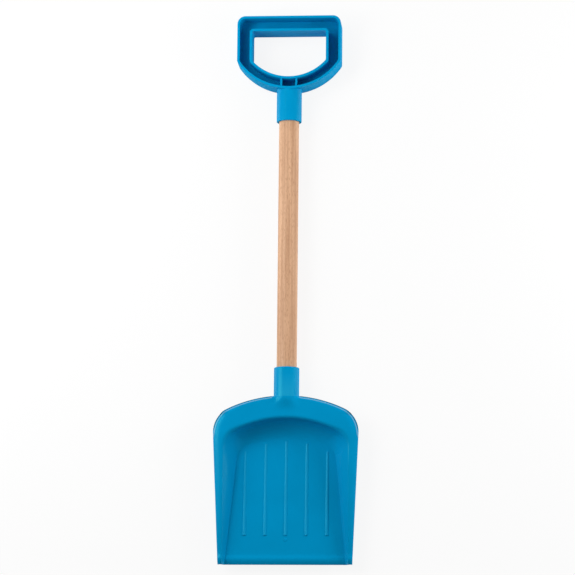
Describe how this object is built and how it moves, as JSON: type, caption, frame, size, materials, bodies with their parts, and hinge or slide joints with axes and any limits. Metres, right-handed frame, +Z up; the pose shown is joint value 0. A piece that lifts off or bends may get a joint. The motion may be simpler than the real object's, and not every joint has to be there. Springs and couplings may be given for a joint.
{
  "type": "sand shovel",
  "caption": "Child's sand shovel: a moulded D-shaped hand grip and a wide ribbed scoop with raised sides, joined by a round wooden stick",
  "frame": {"origin": "Centre of the bounding box's bottom face: the flat surface the shovel lies on with its scoop open upward", "axes": "+X across the scoop to its right side, +Y along the stick from the scoop to the grip, +Z up out of the open scoop"},
  "size_m": [0.166, 0.634, 0.0294],
  "materials": {
    "plastic": "moulded blue polypropylene with a soft satin gloss",
    "wood": "sanded bare beech with fine flecks along the grain",
    "steel": "plain zinc-plated steel"
  },
  "bodies": {
    "root": {"grip": "plastic", "stick": "wood", "blade": "plastic", "fixing_screws": "steel"}
  },
  "joints": []
}
